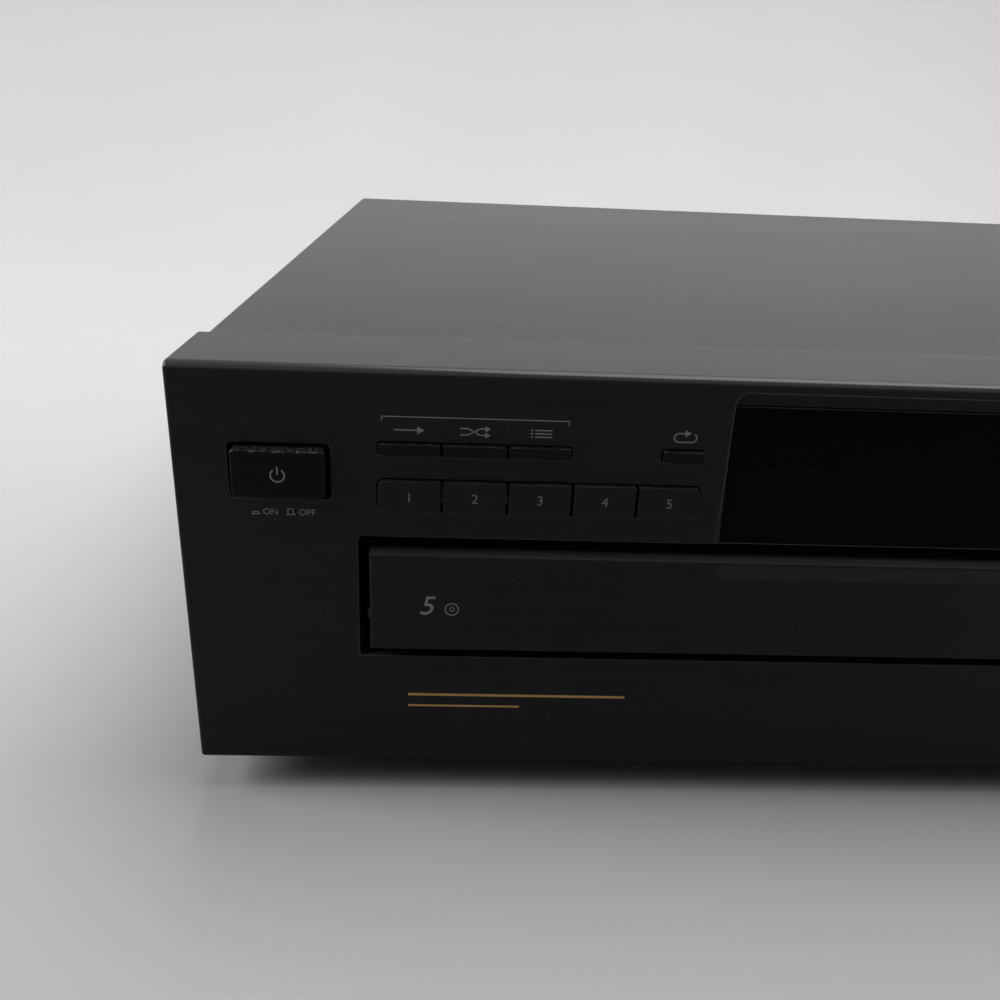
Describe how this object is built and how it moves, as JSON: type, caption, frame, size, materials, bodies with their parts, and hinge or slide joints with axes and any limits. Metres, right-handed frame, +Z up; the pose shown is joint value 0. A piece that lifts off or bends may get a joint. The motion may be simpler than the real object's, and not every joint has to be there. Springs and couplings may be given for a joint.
{
  "type": "multi disc cd changer",
  "caption": "Full width black disc player with a wide front drawer holding a carousel of disc wells, smoked display window and rows of push buttons.",
  "frame": {"origin": "under the middle of the whole player, on the surface it stands on", "axes": "+X to the right seen from the front, +Y to the back, +Z up"},
  "size_m": [0.43, 0.385, 0.115],
  "materials": {
    "chassis_pan": "zinc plated, dull",
    "rear_panel": "black satin paint",
    "top_cover": "black satin powder paint, fine grain",
    "front_panel": "black satin moulding, fine horizontal grain",
    "display_window": "smoked black acrylic, glossy",
    "display_tube": "dark glass display tube",
    "control_board": "bare brown circuit board",
    "power_switch": "black moulding",
    "feet": "black, slightly glossy",
    "case_screws": "black zinc plated steel",
    "transformer_core": "varnished steel laminations",
    "transformer_windings": "coil wrapped in yellow tape",
    "main_board": "brown circuit board",
    "board_components": "black and blue component sleeves",
    "jack_block": "black moulding, white and red insulators",
    "jack_shells": "bright nickel plate",
    "cord_gland": "black",
    "mechanism_frame": "black glass filled moulding",
    "loading_motor": "zinc plated can",
    "loading_belt": "black, dull",
    "clamp_bridge": "zinc plated sheet",
    "lift_motor": "zinc plated can",
    "drawer_front": "black satin moulding",
    "tray": "black moulding, light texture",
    "carousel_spindle": "turned steel",
    "table_motor": "zinc plated can",
    "table_belt": "black, dull",
    "carousel_table": "dark grey moulding, light texture",
    "table_drive_gear": "natural acetal",
    "table_motor_pulley": "turned",
    "loading_motor_pulley": "turned",
    "loader_pulley_gear": "natural acetal",
    "loader_drive_gear": "natural acetal",
    "base_unit_frame": "black glass filled moulding",
    "spindle_motor": "zinc plated can",
    "guide_shafts": "ground steel",
    "sled_motor": "zinc plated can",
    "lift_slider": "natural acetal",
    "lift_gear": "natural acetal",
    "spindle_platter": "black, satin",
    "laser_pickup": "black die moulding",
    "pickup_lens": "coated lens in a black holder",
    "sled_gear": "natural acetal",
    "clamp_disc": "black moulding",
    "power_button": "black satin moulding",
    "open_close_button": "black satin moulding",
    "disc_button_1": "black satin moulding",
    "disc_button_2": "black satin moulding",
    "disc_button_3": "black satin moulding",
    "disc_button_4": "black satin moulding",
    "disc_button_5": "black satin moulding",
    "continue_button": "black satin moulding",
    "shuffle_button": "black satin moulding",
    "program_button": "black satin moulding",
    "repeat_button": "black satin moulding",
    "track_back_button": "black satin moulding",
    "track_forward_button": "black satin moulding",
    "play_button": "black satin moulding",
    "pause_button": "black satin moulding",
    "stop_button": "black satin moulding"
  },
  "bodies": {
    "chassis": {"chassis_pan": "chassis_pan", "rear_panel": "rear_panel", "top_cover": "top_cover", "front_panel": "front_panel", "display_window": "display_window", "display_tube": "display_tube", "control_board": "control_board", "power_switch": "power_switch", "feet": "feet", "case_screws": "case_screws", "transformer_core": "transformer_core", "transformer_windings": "transformer_windings", "main_board": "main_board", "board_components": "board_components", "jack_block": "jack_block", "jack_shells": "jack_shells", "cord_gland": "cord_gland", "mechanism_frame": "mechanism_frame", "loading_motor": "loading_motor", "loading_belt": "loading_belt", "clamp_bridge": "clamp_bridge", "lift_motor": "lift_motor"},
    "drawer": {"drawer_front": "drawer_front", "tray": "tray", "carousel_spindle": "carousel_spindle", "table_motor": "table_motor", "table_belt": "table_belt"},
    "carousel": {"carousel_table": "carousel_table"},
    "table_gear": {"table_drive_gear": "table_drive_gear"},
    "table_pulley": {"table_motor_pulley": "table_motor_pulley"},
    "motor_pulley": {"loading_motor_pulley": "loading_motor_pulley"},
    "pulley_gear": {"loader_pulley_gear": "loader_pulley_gear"},
    "drive_gear": {"loader_drive_gear": "loader_drive_gear"},
    "base_unit": {"base_unit_frame": "base_unit_frame", "spindle_motor": "spindle_motor", "guide_shafts": "guide_shafts", "sled_motor": "sled_motor"},
    "slider": {"lift_slider": "lift_slider"},
    "lift_wheel": {"lift_gear": "lift_gear"},
    "platter": {"spindle_platter": "spindle_platter"},
    "pickup": {"laser_pickup": "laser_pickup"},
    "lens": {"pickup_lens": "pickup_lens"},
    "sled_wheel": {"sled_gear": "sled_gear"},
    "clamp": {"clamp_disc": "clamp_disc"},
    "power": {"power_button": "power_button"},
    "open_close": {"open_close_button": "open_close_button"},
    "disc_key_1": {"disc_button_1": "disc_button_1"},
    "disc_key_2": {"disc_button_2": "disc_button_2"},
    "disc_key_3": {"disc_button_3": "disc_button_3"},
    "disc_key_4": {"disc_button_4": "disc_button_4"},
    "disc_key_5": {"disc_button_5": "disc_button_5"},
    "continue_key": {"continue_button": "continue_button"},
    "shuffle_key": {"shuffle_button": "shuffle_button"},
    "program_key": {"program_button": "program_button"},
    "repeat_key": {"repeat_button": "repeat_button"},
    "track_back_key": {"track_back_button": "track_back_button"},
    "track_forward_key": {"track_forward_button": "track_forward_button"},
    "play_key": {"play_button": "play_button"},
    "pause_key": {"pause_button": "pause_button"},
    "stop_key": {"stop_button": "stop_button"}
  },
  "joints": [
    {"name": "drawer_slide", "type": "slide", "parent": "chassis", "child": "drawer", "axis": [0, -1, 0], "range_m": [0, 0.24]},
    {"name": "carousel_spin", "type": "hinge", "parent": "drawer", "child": "carousel", "pos_m": [0, -0.015, 0.064], "axis": [0, 0, 1], "continuous": true},
    {"name": "table_gear_spin", "type": "hinge", "parent": "drawer", "child": "table_gear", "pos_m": [-0.05797, -0.06719, 0.054], "axis": [0, 0, 1], "continuous": true},
    {"name": "table_motor_spin", "type": "hinge", "parent": "drawer", "child": "table_pulley", "pos_m": [-0.09199, -0.11599, 0.058], "axis": [0, 0, 1], "continuous": true},
    {"name": "drive_gear_spin", "type": "hinge", "parent": "chassis", "child": "drive_gear", "pos_m": [-0.132, -0.137, 0.044], "axis": [0, 0, 1], "range_deg": [0, 763.94]},
    {"name": "pulley_gear_spin", "type": "hinge", "parent": "chassis", "child": "pulley_gear", "pos_m": [-0.1, -0.137, 0.036], "axis": [0, 0, 1], "range_deg": [-2291.83, 0]},
    {"name": "loading_motor_spin", "type": "hinge", "parent": "chassis", "child": "motor_pulley", "pos_m": [-0.058, -0.137, 0.034], "axis": [0, 0, 1], "range_deg": [-10695.21, 0]},
    {"name": "base_unit_lift", "type": "slide", "parent": "chassis", "child": "base_unit", "axis": [0, 0, 1], "range_m": [0, 0.0104]},
    {"name": "lift_slider_slide", "type": "slide", "parent": "chassis", "child": "slider", "axis": [-1, 0, 0], "range_m": [0, 0.01802]},
    {"name": "lift_gear_spin", "type": "hinge", "parent": "chassis", "child": "lift_wheel", "pos_m": [0, 0.0503, 0.028], "axis": [0, 0, 1], "range_deg": [0, 103.21]},
    {"name": "spindle_spin", "type": "hinge", "parent": "base_unit", "child": "platter", "pos_m": [0, 0.088, 0.055], "axis": [0, 0, 1], "continuous": true},
    {"name": "clamp_spin", "type": "hinge", "parent": "chassis", "child": "clamp", "pos_m": [0, 0.088, 0.075], "axis": [0, 0, 1], "continuous": true},
    {"name": "pickup_slide", "type": "slide", "parent": "base_unit", "child": "pickup", "axis": [0, 1, 0], "range_m": [0, 0.035]},
    {"name": "sled_gear_spin", "type": "hinge", "parent": "base_unit", "child": "sled_wheel", "pos_m": [-0.0343, 0.129, 0.041], "axis": [0, 0, 1], "range_deg": [0, 334.23]},
    {"name": "lens_focus", "type": "slide", "parent": "pickup", "child": "lens", "axis": [0, 0, 1], "range_m": [-0.0004, 0.0004], "stiffness_N_per_m": 60},
    {"name": "power_push", "type": "slide", "parent": "chassis", "child": "power", "axis": [0, 1, 0], "range_m": [0, 0.003], "stiffness_N_per_m": 200},
    {"name": "open_close_push", "type": "slide", "parent": "chassis", "child": "open_close", "axis": [0, 1, 0], "range_m": [0, 0.0008], "stiffness_N_per_m": 300},
    {"name": "disc_button_1_push", "type": "slide", "parent": "chassis", "child": "disc_key_1", "axis": [0, 1, 0], "range_m": [0, 0.0008], "stiffness_N_per_m": 300},
    {"name": "disc_button_2_push", "type": "slide", "parent": "chassis", "child": "disc_key_2", "axis": [0, 1, 0], "range_m": [0, 0.0008], "stiffness_N_per_m": 300},
    {"name": "disc_button_3_push", "type": "slide", "parent": "chassis", "child": "disc_key_3", "axis": [0, 1, 0], "range_m": [0, 0.0008], "stiffness_N_per_m": 300},
    {"name": "disc_button_4_push", "type": "slide", "parent": "chassis", "child": "disc_key_4", "axis": [0, 1, 0], "range_m": [0, 0.0008], "stiffness_N_per_m": 300},
    {"name": "disc_button_5_push", "type": "slide", "parent": "chassis", "child": "disc_key_5", "axis": [0, 1, 0], "range_m": [0, 0.0008], "stiffness_N_per_m": 300},
    {"name": "continue_push", "type": "slide", "parent": "chassis", "child": "continue_key", "axis": [0, 1, 0], "range_m": [0, 0.0008], "stiffness_N_per_m": 300},
    {"name": "shuffle_push", "type": "slide", "parent": "chassis", "child": "shuffle_key", "axis": [0, 1, 0], "range_m": [0, 0.0008], "stiffness_N_per_m": 300},
    {"name": "program_push", "type": "slide", "parent": "chassis", "child": "program_key", "axis": [0, 1, 0], "range_m": [0, 0.0008], "stiffness_N_per_m": 300},
    {"name": "repeat_push", "type": "slide", "parent": "chassis", "child": "repeat_key", "axis": [0, 1, 0], "range_m": [0, 0.0008], "stiffness_N_per_m": 300},
    {"name": "track_back_push", "type": "slide", "parent": "chassis", "child": "track_back_key", "axis": [0, 1, 0], "range_m": [0, 0.0008], "stiffness_N_per_m": 300},
    {"name": "track_forward_push", "type": "slide", "parent": "chassis", "child": "track_forward_key", "axis": [0, 1, 0], "range_m": [0, 0.0008], "stiffness_N_per_m": 300},
    {"name": "play_push", "type": "slide", "parent": "chassis", "child": "play_key", "axis": [0, 1, 0], "range_m": [0, 0.0008], "stiffness_N_per_m": 300},
    {"name": "pause_push", "type": "slide", "parent": "chassis", "child": "pause_key", "axis": [0, 1, 0], "range_m": [0, 0.0008], "stiffness_N_per_m": 300},
    {"name": "stop_push", "type": "slide", "parent": "chassis", "child": "stop_key", "axis": [0, 1, 0], "range_m": [0, 0.0008], "stiffness_N_per_m": 300}
  ],
  "couplings": [
    {"joint": "table_gear_spin", "follows": "carousel_spin", "ratio": -3.3333},
    {"joint": "table_motor_spin", "follows": "carousel_spin", "ratio": -13.889},
    {"joint": "drive_gear_spin", "follows": "drawer_slide", "rad_per_m": 55.556},
    {"joint": "pulley_gear_spin", "follows": "drawer_slide", "rad_per_m": -166.67},
    {"joint": "loading_motor_spin", "follows": "drawer_slide", "rad_per_m": -777.78},
    {"joint": "lift_slider_slide", "follows": "base_unit_lift", "ratio": 1.7321},
    {"joint": "lift_gear_spin", "follows": "base_unit_lift", "rad_per_m": 173.21},
    {"joint": "clamp_spin", "follows": "spindle_spin", "ratio": 1},
    {"joint": "sled_gear_spin", "follows": "pickup_slide", "rad_per_m": 166.67}
  ]
}
